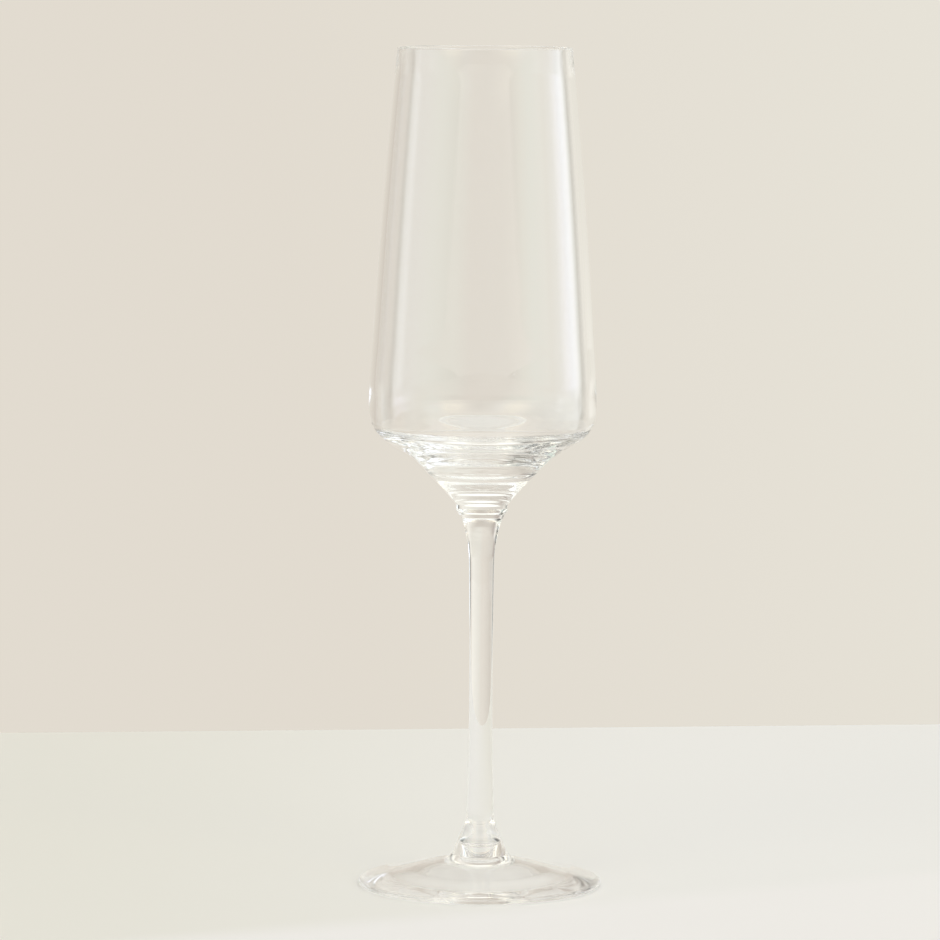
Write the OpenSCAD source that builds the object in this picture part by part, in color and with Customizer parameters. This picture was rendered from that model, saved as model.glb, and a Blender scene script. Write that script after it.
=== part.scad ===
// Champagne flute in clear glass: a blown bowl, a drawn stem and a pressed foot, fused end to end.
// Origin at the centre of the base on the table, +Z up, millimetres.

/* [Overall] */
// Height from the table to the rim
height = 246; // [236:1:260]

/* [Bowl] */
// Outer diameter at the rim
rim_d = 51; // [48:0.2:56]
// Widest outer diameter, at the shoulder
bowl_d = 66.6; // [63:0.2:70]
// Glass thickness at the rounded rim
lip_wall = 1; // [0.8:0.1:1.2]
// Glass thickness just under the rim
side_wall = 1.6; // [1.3:0.1:1.8]
// Glass thickness at the shoulder
shoulder_wall = 1.8; // [1.5:0.1:2.1]
// Height of the widest point above the table
shoulder_z = 141.5; // [140:0.5:144]
// Height of the lowest point of the hollow above the table
floor_z = 127.2; // [126:0.2:128]
// Outer diameter of the ring under the bowl that sits on the stem
ring_d = 15.2; // [15:0.1:16]

/* [Stem] */
// Height of the seam between bowl and stem
bowl_seam_z = 110.6; // [109.6:0.1:111]
// Stem diameter at its slimmest
stem_d = 7; // [6.2:0.1:8]
// Height of the slimmest place
slim_z = 62; // [54:1:70]
// Height of the seam between stem and foot
foot_seam_z = 8.9; // [8.6:0.1:9.2]
// Stem diameter at the seam with the foot
foot_seam_d = 16.2; // [15:0.2:17]

/* [Foot] */
// Diameter of the foot
foot_d = 71.2; // [66:0.2:76]
// Thickness of the foot's edge
edge_t = 1.6; // [1.4:0.1:2]
// Height of the hollow under the middle of the foot
punt_h = 4.5; // [4:0.1:5]
// Width of the flat ring that the foot rests on
rest_w = 1.1; // [0.8:0.1:2]

/* [Hidden] */

rim_r = rim_d / 2;
bowl_r = bowl_d / 2;
ring_r = ring_d / 2;
stem_r = stem_d / 2;
foot_r = foot_d / 2;
foot_seam_r = foot_seam_d / 2;
lip_r = lip_wall / 2;
lip_z = height - lip_r;
edge_r = foot_r - edge_t / 2;
rest_r = foot_r - 0.75 * edge_t;
hollow_r = rest_r - rest_w;
inner_r = bowl_r - shoulder_wall;

// Share of a stretch's length that its curve keeps to the direction given at either end
HOLD = 0.36;

// Each outline is a list of knots: radius, height, and the direction of the outline there.
// 0 runs straight down, 90 straight out from the axis and -90 straight in to it.

// Outside of the bowl, from the rim to the ring: side, shoulder, underside
bowl_outside = [
    [rim_r, lip_z, 5.6],
    [bowl_r - 0.9, shoulder_z + 18, 3.6],
    [bowl_r, shoulder_z, 0],
    [bowl_r - 1.5, shoulder_z - 6.6, -30],
    [bowl_r - 5, shoulder_z - 10.3, -57],
    [bowl_r - 12.1, shoulder_z - 14.7, -56],
    [ring_r + 7.2, bowl_seam_z + 9.9, -45],
    [ring_r, bowl_seam_z + 1.9, -38]
];

// Side of the bowl's inside, from the rim to above the shoulder
bowl_inside = [
    [rim_r - lip_wall, lip_z, 2],
    [rim_r + 0.84 - side_wall, lip_z - 9, 5.4],
    [inner_r - 0.9, shoulder_z + 18, 3.6]
];

// Shoulder and bottom of the bowl's inside, in to the axis: radius and height of places on it.
// The first and the last place only steer the curve's ends.
bowl_bottom = [
    [inner_r - 1.1, shoulder_z + 22],
    [inner_r - 0.9, shoulder_z + 18],
    [inner_r, shoulder_z + 3.1],
    [inner_r - 1.3, shoulder_z - 6.3],
    [inner_r - 4.5, shoulder_z - 6.5],
    [20, shoulder_z - 10.1],
    [12, floor_z + 0.6],
    [6, floor_z + 0.4],
    [0, floor_z],
    [-6, floor_z + 0.4]
];

// Side of the stem, from the seam with the bowl to the seam with the foot
stem_side = [
    [ring_r - 0.2, bowl_seam_z, -35],
    [5.35, bowl_seam_z - 4.2, -14],
    [stem_r + 0.22, bowl_seam_z - 15, -1],
    [stem_r, slim_z, 0],
    [stem_r + 0.42, foot_seam_z + 17, 2],
    [stem_r + 1.12, foot_seam_z + 8.6, 19],
    [foot_seam_r, foot_seam_z, 14]
];

// Top of the foot, from the seam with the stem to its edge
foot_top = [
    [foot_seam_r, foot_seam_z, 58],
    [11, foot_seam_z - 1.65, 80],
    [19, 5.3, 72.5],
    [edge_r, edge_t, 82]
];

// Hollow under the foot, from the resting ring in to the axis, given like the bottom of the bowl
foot_hollow = [
    [hollow_r + 1.5, 0],
    [hollow_r, 0],
    [26, 0.7],
    [19, 2.65],
    [9, 5.1],
    [0, punt_h],
    [-9, 5.1]
];

// Points of the cubic curve from a to d that leaves a towards b and reaches d from c
function cubic(a, b, c, d, steps) = [
    for (i = [0 : steps])
        let (t = i / steps, u = 1 - t)
            u * u * u * a + 3 * u * u * t * b + 3 * u * t * t * c + t * t * t * d
];

// Unit step along an outline's direction, and the place of a knot
function way(knot) = [sin(knot[2]), -cos(knot[2])];
function place(knot) = [knot[0], knot[1]];

// Points of one stretch between two knots
function stretch(from, to, steps) =
    let (hold = HOLD * norm(place(to) - place(from)))
        cubic(place(from), place(from) + hold * way(from), place(to) - hold * way(to), place(to), steps);

// Points of a whole outline, with each knot once
function outline(knots, steps) = concat(
    [place(knots[0])],
    [
        for (k = [1 : len(knots) - 1])
            let (points = stretch(knots[k - 1], knots[k], steps))
                for (i = [1 : steps]) points[i]
    ]
);

// The place at t on the line that passes a at from and b at to
function between(a, b, from, to, t) = ((to - t) * a + (t - from) * b) / (to - from);

// The place at a share of the way from b to c on a smooth curve through a, b, c and d
function passing(a, b, c, d, share) =
    let (from = sqrt(norm(b - a)), to = from + sqrt(norm(c - b)), last = to + sqrt(norm(d - c)))
        let (t = from + (to - from) * share)
            let (ab = between(a, b, 0, from, t))
                let (bc = between(b, c, from, to, t))
                    let (cd = between(c, d, to, last, t))
                        between(between(ab, bc, 0, to, t), between(bc, cd, from, last, t), from, to, t);

// Points of a smooth curve through all places but the first and the last, without its first point
function smooth(places, steps) = [
    for (k = [1 : len(places) - 3])
        for (i = [1 : steps])
            passing(places[k - 1], places[k], places[k + 1], places[k + 2], i / steps)
];

function reversed(points) = [for (i = [len(points) - 1 : -1 : 0]) points[i]];

// Points inside a circular arc round c, from angle a0 to a1, without its two ends
function arc(c, r, a0, a1, steps) = [
    for (i = [1 : steps - 1])
        let (a = a0 + (a1 - a0) * i / steps)
            c + r * [cos(a), sin(a)]
];

module bowl() {
    color([0.93, 0.93, 0.90, 0.4])
        rotate_extrude($fn = 120)
            polygon(concat(
                [[0, bowl_seam_z]],
                reversed(concat(outline(bowl_inside, 8), smooth(bowl_bottom, 6))),
                arc([rim_r - lip_r, lip_z], lip_r, 180, 0, 8),
                outline(bowl_outside, 8),
                [[ring_r, bowl_seam_z]]
            ));
}

module stem() {
    color([0.92, 0.93, 0.90, 0.5])
        rotate_extrude($fn = 96)
            polygon(concat([[0, foot_seam_z], [0, bowl_seam_z]], outline(stem_side, 7)));
}

module foot() {
    color([0.94, 0.94, 0.91, 0.45])
        rotate_extrude($fn = 160)
            polygon(concat(
                [[0, foot_seam_z]],
                outline(foot_top, 8),
                arc([edge_r, edge_t / 2], edge_t / 2, 90, -60, 8),
                [[rest_r, 0], [hollow_r, 0]],
                smooth(foot_hollow, 7)
            ));
}

bowl();
stem();
foot();
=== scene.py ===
import math

import bmesh
import bpy
from mathutils import Matrix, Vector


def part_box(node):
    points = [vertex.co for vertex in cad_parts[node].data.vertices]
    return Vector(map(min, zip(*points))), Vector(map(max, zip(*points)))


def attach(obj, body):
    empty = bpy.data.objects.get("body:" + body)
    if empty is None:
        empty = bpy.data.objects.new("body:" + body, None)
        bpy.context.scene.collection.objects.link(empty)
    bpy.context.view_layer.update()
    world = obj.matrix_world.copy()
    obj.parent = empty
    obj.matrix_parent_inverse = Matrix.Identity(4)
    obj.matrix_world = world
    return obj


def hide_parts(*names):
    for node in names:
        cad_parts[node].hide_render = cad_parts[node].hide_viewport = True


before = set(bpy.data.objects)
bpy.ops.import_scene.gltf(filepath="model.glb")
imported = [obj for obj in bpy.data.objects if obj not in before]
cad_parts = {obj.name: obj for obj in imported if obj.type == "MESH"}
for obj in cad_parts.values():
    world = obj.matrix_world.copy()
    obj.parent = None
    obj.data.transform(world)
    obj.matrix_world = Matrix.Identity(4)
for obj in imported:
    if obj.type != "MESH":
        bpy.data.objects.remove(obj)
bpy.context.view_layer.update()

SCENE = bpy.context.scene
MM = 0.001

# ---------------------------------------------------------------- sizes, from the frame

BOWL_LOW, BOWL_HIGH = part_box("bowl")
_, STEM_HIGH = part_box("stem")
_, FOOT_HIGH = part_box("foot")

RIM_Z = BOWL_HIGH.z / MM
BOWL_SEAM_Z = BOWL_LOW.z / MM
FOOT_SEAM_Z = FOOT_HIGH.z / MM
BOWL_R = BOWL_HIGH.x / MM
FOOT_R = FOOT_HIGH.x / MM
FOOT_SEAM_R = STEM_HIGH.x / MM

# Sizes in millimetres that the boxes don't show, the same as in the CAD
RIM_R = 25.5
LIP_WALL = 1.0
SIDE_WALL = 1.6
SHOULDER_WALL = 1.8
SHOULDER_Z = 141.5
FLOOR_Z = 127.2
RING_R = 7.6
STEM_R = 3.5
SLIM_Z = 62.0
EDGE_T = 1.6
PUNT_H = 4.5
REST_W = 1.1

LIP_R = LIP_WALL / 2
LIP_Z = RIM_Z - LIP_R
INNER_R = BOWL_R - SHOULDER_WALL
EDGE_R = FOOT_R - EDGE_T / 2
REST_R = FOOT_R - 0.75 * EDGE_T
HOLLOW_R = REST_R - REST_W

# Share of a stretch's length that its curve keeps to the direction given at either end
HOLD = 0.36
# Segments round the axis
TURNS = 256
# Edges that turn by more than this stay sharp
SHARP_ANGLE = math.radians(35)

# Each outline is a list of knots: radius, height, and the direction of the outline there in degrees.
# 0 runs straight down, 90 straight out from the axis and -90 straight in to it.
BOWL_OUTSIDE = [
    (RIM_R, LIP_Z, 5.6),
    (BOWL_R - 0.9, SHOULDER_Z + 18, 3.6),
    (BOWL_R, SHOULDER_Z, 0),
    (BOWL_R - 1.5, SHOULDER_Z - 6.6, -30),
    (BOWL_R - 5, SHOULDER_Z - 10.3, -57),
    (BOWL_R - 12.1, SHOULDER_Z - 14.7, -56),
    (RING_R + 7.2, BOWL_SEAM_Z + 9.9, -45),
    (RING_R, BOWL_SEAM_Z + 1.9, -38),
]
BOWL_INSIDE = [
    (RIM_R - LIP_WALL, LIP_Z, 2),
    (RIM_R + 0.84 - SIDE_WALL, LIP_Z - 9, 5.4),
    (INNER_R - 0.9, SHOULDER_Z + 18, 3.6),
]
# The bottom of the inside, from the shoulder in to the axis: radius and height of places on it.
# The first and the last place only steer the curve's ends.
BOTTOM = [
    (INNER_R - 1.1, SHOULDER_Z + 22),
    (INNER_R - 0.9, SHOULDER_Z + 18),
    (INNER_R, SHOULDER_Z + 3.1),
    (INNER_R - 1.3, SHOULDER_Z - 6.3),
    (INNER_R - 4.5, SHOULDER_Z - 6.5),
    (20, SHOULDER_Z - 10.1),
    (12, FLOOR_Z + 0.6),
    (6, FLOOR_Z + 0.4),
    (0, FLOOR_Z),
    (-6, FLOOR_Z + 0.4),
]
# Ripples round the underside: lowest and highest place, depth, pitch, and the degrees of the wave at the rim
RIPPLES = (BOWL_SEAM_Z + 1.9, SHOULDER_Z - 10, 0.043, 4.28, 287.5)
STEM_SIDE = [
    (RING_R - 0.2, BOWL_SEAM_Z, -35),
    (5.35, BOWL_SEAM_Z - 4.2, -14),
    (STEM_R + 0.22, BOWL_SEAM_Z - 15, -1),
    (STEM_R, SLIM_Z, 0),
    (STEM_R + 0.42, FOOT_SEAM_Z + 17, 2),
    (STEM_R + 1.12, FOOT_SEAM_Z + 8.6, 19),
    (FOOT_SEAM_R, FOOT_SEAM_Z, 14),
]
FOOT_TOP = [
    (FOOT_SEAM_R, FOOT_SEAM_Z, 58),
    (11, FOOT_SEAM_Z - 1.65, 80),
    (19, 5.3, 72.5),
    (EDGE_R, EDGE_T, 82),
]
# The hollow under the foot, from the resting ring in to the axis, given like the bottom of the bowl
FOOT_HOLLOW = [
    (HOLLOW_R + 1.5, 0),
    (HOLLOW_R, 0),
    (26, 0.7),
    (19, 2.65),
    (9, 5.1),
    (0, PUNT_H),
    (-9, 5.1),
]


def stretch(start, end, steps):
    """Points of one smooth stretch between two knots, without its first point."""
    hold = HOLD * math.hypot(end[0] - start[0], end[1] - start[1])
    way = [(math.sin(math.radians(k[2])), -math.cos(math.radians(k[2]))) for k in (start, end)]
    a, d = start[:2], end[:2]
    b = [a[i] + hold * way[0][i] for i in (0, 1)]
    c = [d[i] - hold * way[1][i] for i in (0, 1)]
    points = []
    for n in range(1, steps + 1):
        t = n / steps
        u = 1 - t
        points.append(tuple(
            u**3 * a[i] + 3 * u * u * t * b[i] + 3 * u * t * t * c[i] + t**3 * d[i] for i in (0, 1)
        ))
    return points


def outline(knots, steps):
    """Points of a whole outline, with each knot once."""
    points = [knots[0][:2]]
    for start, end in zip(knots, knots[1:]):
        points += stretch(start, end, steps)
    return points


def between(a, b, start, end, t):
    """The place at t on the line that passes a at start and b at end."""
    return tuple(((end - t) * p + (t - start) * q) / (end - start) for p, q in zip(a, b))


def smooth(places, steps):
    """Points of a smooth curve through all places but the first and the last, without its first point."""
    points = []
    for a, b, c, d in zip(places, places[1:], places[2:], places[3:]):
        start = math.sqrt(math.dist(a, b))
        end = start + math.sqrt(math.dist(b, c))
        last = end + math.sqrt(math.dist(c, d))
        for n in range(1, steps + 1):
            t = start + (end - start) * n / steps
            ab = between(a, b, 0, start, t)
            bc = between(b, c, start, end, t)
            cd = between(c, d, end, last, t)
            abc = between(ab, bc, 0, end, t)
            bcd = between(bc, cd, start, last, t)
            points.append(between(abc, bcd, start, end, t))
    return points


def rippled(points, low, high, depth, pitch, degrees):
    """The outline with ripples square to it between two heights, fading out at both."""
    result = [points[0]]
    length = 0
    for before, point, after in zip(points, points[1:], points[2:]):
        length += math.dist(before, point)
        r, z = point
        if low < z < high:
            fade = math.sqrt(math.sin(math.pi * (z - low) / (high - low)))
            step = depth * fade * math.sin(2 * math.pi * length / pitch + math.radians(degrees))
            along = math.dist(before, after)
            r += step * (after[1] - before[1]) / along
            z -= step * (after[0] - before[0]) / along
        result.append((r, z))
    return result + [points[-1]]


def arc(centre, radius, start, end, steps):
    """Points inside a circular arc, without its two ends, angles in degrees."""
    points = []
    for n in range(1, steps):
        a = math.radians(start + (end - start) * n / steps)
        points.append((centre[0] + radius * math.cos(a), centre[1] + radius * math.sin(a)))
    return points


def lathe(name, points, seam_heights):
    """A closed mesh from an outline that starts and ends on the axis. Flat faces at a seam get slot 1."""
    verts, faces, marks = [], [], []
    rings = []
    for r, z in points:
        if r < 1e-6:
            rings.append([len(verts)])
            verts.append((0, 0, z * MM))
        else:
            rings.append(list(range(len(verts), len(verts) + TURNS)))
            for k in range(TURNS):
                a = 2 * math.pi * k / TURNS
                verts.append((r * math.cos(a) * MM, r * math.sin(a) * MM, z * MM))
    for (p, q), upper, lower in zip(zip(points, points[1:]), rings, rings[1:]):
        seam = abs(p[1] - q[1]) < 1e-6 and any(abs(p[1] - z) < 1e-6 for z in seam_heights)
        for k in range(TURNS):
            n = (k + 1) % TURNS
            if len(upper) == 1:
                face = (upper[0], lower[n], lower[k])
            elif len(lower) == 1:
                face = (upper[k], upper[n], lower[0])
            else:
                face = (upper[k], upper[n], lower[n], lower[k])
            faces.append(face)
            marks.append(1 if seam else 0)
    mesh = bpy.data.meshes.new(name)
    mesh.from_pydata(verts, [], faces)
    mesh.polygons.foreach_set("material_index", marks)
    mesh.update()
    obj = bpy.data.objects.new(name, mesh)
    SCENE.collection.objects.link(obj)
    return obj


def outward(obj):
    """Turns every face outwards."""
    bm = bmesh.new()
    bm.from_mesh(obj.data)
    bmesh.ops.recalc_face_normals(bm, faces=bm.faces)
    if bm.calc_volume(signed=True) < 0:
        bmesh.ops.reverse_faces(bm, faces=bm.faces)
    bm.to_mesh(obj.data)
    bm.free()


def shade(obj):
    """Smooth all round, but flat on the seams and sharp where the outline has a corner."""
    for p in obj.data.polygons:
        p.use_smooth = p.material_index == 0
    obj.data.set_sharp_from_angle(angle=SHARP_ANGLE)


# ---------------------------------------------------------------- materials

def glass_material():
    mat = bpy.data.materials.new("clear_glass")
    mat.use_nodes = True
    shader = mat.node_tree.nodes["Principled BSDF"]
    shader.inputs["Base Color"].default_value = (1, 1, 1, 1)
    shader.inputs["Roughness"].default_value = 0.0
    shader.inputs["IOR"].default_value = 1.52
    shader.inputs["Transmission Weight"].default_value = 1.0
    return mat


def joint_material():
    """Fused glass has no surface inside it, so light passes the seam's inner faces untouched."""
    mat = bpy.data.materials.new("fused_seam")
    mat.use_nodes = True
    nodes = mat.node_tree.nodes
    nodes.remove(nodes["Principled BSDF"])
    clear = nodes.new("ShaderNodeBsdfTransparent")
    mat.node_tree.links.new(clear.outputs[0], nodes["Material Output"].inputs["Surface"])
    return mat


GLASS = glass_material()
SEAM = joint_material()


def glass_piece(name, node, points, seam_heights):
    """The visual piece of one node: clear glass, with its seams as fused joints."""
    obj = lathe(name, points, seam_heights)
    outward(obj)
    obj.data.materials.append(GLASS)
    obj.data.materials.append(SEAM)
    shade(obj)
    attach(obj, "root")
    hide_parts(node)
    return obj


def bowl():
    lip = arc((RIM_R - LIP_R, LIP_Z), LIP_R, 180, 0, 12)
    inside = outline(BOWL_INSIDE, 40) + smooth(BOTTOM, 24)
    outside = rippled(outline(BOWL_OUTSIDE, 40), *RIPPLES)
    points = inside[::-1] + lip + outside + [(RING_R, BOWL_SEAM_Z), (0, BOWL_SEAM_Z)]
    return glass_piece("flute_bowl", "bowl", points, [BOWL_SEAM_Z])


def stem():
    points = [(0, BOWL_SEAM_Z)] + outline(STEM_SIDE, 30) + [(0, FOOT_SEAM_Z)]
    return glass_piece("flute_stem", "stem", points, [BOWL_SEAM_Z, FOOT_SEAM_Z])


def foot():
    points = (
        [(0, FOOT_SEAM_Z)] + outline(FOOT_TOP, 30)
        + arc((EDGE_R, EDGE_T / 2), EDGE_T / 2, 90, -60, 12)
        + [(REST_R, 0), (HOLLOW_R, 0)] + smooth(FOOT_HOLLOW, 40)
    )
    return glass_piece("flute_foot", "foot", points, [FOOT_SEAM_Z])


bowl()
stem()
foot()

# ---------------------------------------------------------------- floor, light and camera

CAMERA_DISTANCE = 1.4965
CAMERA_HEIGHT = 0.2760
CAMERA_PITCH = 5.855
CAMERA_ROLL = 0.39
CAMERA_LENS = 196.8
CAMERA_ASIDE = 0.0036


def srgb(r, g, b):
    """Linear colour of an sRGB colour given out of 255."""
    def lin(c):
        c /= 255
        return c / 12.92 if c <= 0.04045 else ((c + 0.055) / 1.055) ** 2.4
    return (lin(r), lin(g), lin(b), 1)


def put(tree, socket, value):
    """Sets a socket to a constant, or links an output to it."""
    if isinstance(value, (int, float, tuple)):
        socket.default_value = value
    else:
        tree.links.new(value, socket)


def mix(tree, share, a, b):
    """Colour a where share is 0 and colour b where it is 1."""
    node = tree.nodes.new("ShaderNodeMix")
    node.data_type = "RGBA"
    factor, colour_a, colour_b = node.inputs[0], node.inputs[6], node.inputs[7]
    put(tree, factor, share)
    put(tree, colour_a, a)
    put(tree, colour_b, b)
    return node.outputs[2]


def formula(tree, kind, *values):
    """One step of arithmetic."""
    node = tree.nodes.new("ShaderNodeMath")
    node.operation = kind
    for socket, value in zip(node.inputs, values):
        put(tree, socket, value)
    return node.outputs[0]


def ease(tree, value, low, high):
    """0 below low, 1 above high, smooth between."""
    node = tree.nodes.new("ShaderNodeMapRange")
    node.interpolation_type = "SMOOTHSTEP"
    put(tree, node.inputs["Value"], value)
    put(tree, node.inputs["From Min"], low)
    put(tree, node.inputs["From Max"], high)
    return node.outputs["Result"]


def floor_material():
    """Pale and matt, with painted shade: a little darker towards the left, away from the window, and paler
    at the front, so the floor near the glass stays darker as painted shade.
    """
    # Painted shade: the left colour stands for less window light, and the paler front colour leaves the
    # floor round the glass's foot darker.
    shaded_left, lit_right, lit_front_colour = srgb(231, 230, 227), srgb(238, 238, 241), srgb(241, 240, 244)
    dark_x, pale_x = -0.16, 0.10
    slant, back_y, front_y = -0.5, -0.03, -0.06
    mat = bpy.data.materials.new("pale_floor")
    mat.use_nodes = True
    tree = mat.node_tree
    shader = tree.nodes["Principled BSDF"]
    shader.inputs["Roughness"].default_value = 0.9
    place = tree.nodes.new("ShaderNodeTexCoord")
    split = tree.nodes.new("ShaderNodeSeparateXYZ")
    put(tree, split.inputs[0], place.outputs["Object"])
    share = ease(tree, split.outputs["X"], dark_x, pale_x)
    painted_shade_across = mix(tree, share, shaded_left, lit_right)
    depth = formula(tree, "MULTIPLY_ADD", split.outputs["X"], slant, split.outputs["Y"])
    front = ease(tree, depth, back_y, front_y)
    put(tree, shader.inputs["Base Color"], mix(tree, front, painted_shade_across, lit_front_colour))
    return mat


def floor():
    """A flat slab's top, whose back edge runs a little askew behind the glass."""
    half_width = 0.6
    front = -1.2
    back = 0.302
    askew = math.tan(math.radians(6)) * half_width
    gap = -0.0003
    mesh = bpy.data.meshes.new("floor")
    mesh.from_pydata(
        [
            (-half_width, front, gap),
            (half_width, front, gap),
            (half_width, back + askew, gap),
            (-half_width, back - askew, gap),
        ],
        [],
        [(0, 1, 2, 3)],
    )
    obj = bpy.data.objects.new("floor", mesh)
    SCENE.collection.objects.link(obj)
    mesh.materials.append(floor_material())
    return obj


# Colours of the room's light
BLACK = (0.03, 0.03, 0.03)
DARK = (0.12, 0.12, 0.12)
SHADE = (0.42, 0.36, 0.32)
GREY = (0.42, 0.45, 0.42)
WALL = (0.62, 0.57, 0.50)
BACKDROP = (0.76, 0.71, 0.63)
PALE_BACKDROP = (0.80, 0.77, 0.69)
CREAM = (0.93, 0.90, 0.82)
GREEN = (0.62, 0.78, 0.68)
MIST = (0.85, 0.95, 0.92)
SILVER = (1.05, 1.10, 1.15)
SKY = (1.25, 1.35, 1.40)
WINDOW = (2.05, 2.15, 2.50)
LAMP = (2.30, 2.15, 1.70)
CEILING = (1.18, 1.18, 1.10)

# The room by degrees round the glass, blending from each place to the next: 0 is behind the glass, 90 at
# its right, -90 at its left and 180 behind the camera. Level with the glass: the pale backdrop behind it,
# the window at its right with a dark edge on the backdrop's side, and a bright gap in shade at its left.
LEVEL = [
    (-180, SHADE),
    (-165, SHADE),
    (-148, GREEN),
    (-118, GREEN),
    (-98, GREY),
    (-90, GREY),
    (-84, SILVER),
    (-76, GREY),
    (-60, SHADE),
    (-50, SHADE),
    (-40, WALL),
    (-8, BACKDROP),
    (-3, BACKDROP),
    (6, PALE_BACKDROP),
    (34, PALE_BACKDROP),
    (48, CREAM),
    (53, DARK),
    (59, GREY),
    (61, SKY),
    (70, WINDOW),
    (80, WINDOW),
    (92, SKY),
    (104, PALE_BACKDROP),
    (125, MIST),
    (138, BACKDROP),
    (160, SHADE),
    (180, SHADE),
]
# Below that level: the same, with a dimmer window and darker places at the left and behind the camera
LOW = [
    (-180, WALL),
    (-165, WALL),
    (-150, DARK),
    (-135, GREEN),
    (-120, GREEN),
    (-105, MIST),
    (-86, SHADE),
    (-74, SHADE),
    (-66, DARK),
    (-60, GREY),
    (-52, BACKDROP),
    (-42, WALL),
    (-8, BACKDROP),
    (-3, BACKDROP),
    (6, PALE_BACKDROP),
    (34, CREAM),
    (49, BACKDROP),
    (53, DARK),
    (58, DARK),
    (62, SKY),
    (95, SKY),
    (125, MIST),
    (140, GREY),
    (155, DARK),
    (170, SHADE),
    (180, WALL),
]
# Above it: a black board at the left, and a lamp on either side of the camera
HIGH = [
    (-180, DARK),
    (-165, GREY),
    (-152, SKY),
    (-140, LAMP),
    (-128, LAMP),
    (-116, CREAM),
    (-105, BLACK),
    (-56, BLACK),
    (-41, CREAM),
    (-30, SHADE),
    (-15, WALL),
    (15, WALL),
    (45, CREAM),
    (60, BACKDROP),
    (76, BACKDROP),
    (86, GREY),
    (96, WALL),
    (105, PALE_BACKDROP),
    (118, SKY),
    (130, SKY),
    (142, LAMP),
    (155, LAMP),
    (168, BACKDROP),
    (180, DARK),
]
# Degrees of height at which one level blends into the next
LOW_TO_LEVEL = (-4, -1)
LEVEL_TO_HIGH = (8, 11)
HIGH_TO_CEILING = (42, 58)
# Degrees that the room's edges lean per degree of height
LEAN = 0.22
# A ramp's colours stop at 1, so the ramp holds them at this share
RAMP_SHARE = 0.4


def ring(tree, degrees, stops):
    """The room's light at one level, by degrees round the glass."""
    ramp = tree.nodes.new("ShaderNodeValToRGB")
    put(tree, ramp.inputs["Fac"], formula(tree, "MULTIPLY_ADD", degrees, 1 / 360, 0.5))
    elements = ramp.color_ramp.elements
    for _ in stops[1:-1]:
        elements.new(0.5)
    for element, (place, colour) in zip(elements, stops):
        element.position = place / 360 + 0.5
        element.color = (*[c * RAMP_SHARE for c in colour], 1)
    scale = tree.nodes.new("ShaderNodeVectorMath")
    scale.operation = "SCALE"
    scale.inputs["Scale"].default_value = 1 / RAMP_SHARE
    put(tree, scale.inputs[0], ramp.outputs["Color"])
    return scale.outputs[0]


def studio():
    """The room as the world's light: three rings, one above the other, and a ceiling."""
    world = bpy.data.worlds.new("studio")
    SCENE.world = world
    world.use_nodes = True
    tree = world.node_tree
    place = tree.nodes.new("ShaderNodeTexCoord")
    split = tree.nodes.new("ShaderNodeSeparateXYZ")
    put(tree, split.inputs[0], place.outputs["Generated"])
    turn = formula(tree, "ARCTAN2", split.outputs["X"], split.outputs["Y"])
    height = formula(tree, "MULTIPLY", formula(tree, "ARCSINE", split.outputs["Z"]), 180 / math.pi)
    degrees = formula(tree, "MULTIPLY_ADD", turn, 180 / math.pi, formula(tree, "MULTIPLY", height, LEAN))
    low, level, high = (ring(tree, degrees, stops) for stops in (LOW, LEVEL, HIGH))
    light = mix(tree, ease(tree, height, *LOW_TO_LEVEL), low, level)
    light = mix(tree, ease(tree, height, *LEVEL_TO_HIGH), light, high)
    light = mix(tree, ease(tree, height, *HIGH_TO_CEILING), light, (*CEILING, 1))
    background = tree.nodes["Background"]
    put(tree, background.inputs["Color"], light)
    put(tree, background.inputs["Strength"], 1.0)


def camera():
    data = bpy.data.cameras.new("camera")
    data.sensor_width = 36
    data.lens = CAMERA_LENS
    data.clip_start = 0.05
    data.clip_end = 30
    obj = bpy.data.objects.new("camera", data)
    SCENE.collection.objects.link(obj)
    obj.matrix_world = (
        Matrix.Translation((-CAMERA_ASIDE, -CAMERA_DISTANCE, CAMERA_HEIGHT))
        @ Matrix.Rotation(math.radians(90 - CAMERA_PITCH), 4, "X")
        @ Matrix.Rotation(math.radians(CAMERA_ROLL), 4, "Z")
    )
    SCENE.camera = obj
    return obj


floor()
studio()
camera()
SCENE.view_settings.view_transform = "Standard"

# Light passes many surfaces inside the glass before it leaves
BOUNCES = 300
SCENE.cycles.max_bounces = BOUNCES
SCENE.cycles.transmission_bounces = BOUNCES
SCENE.cycles.glossy_bounces = BOUNCES
SCENE.cycles.transparent_max_bounces = BOUNCES
SCENE.cycles.blur_glossy = 0
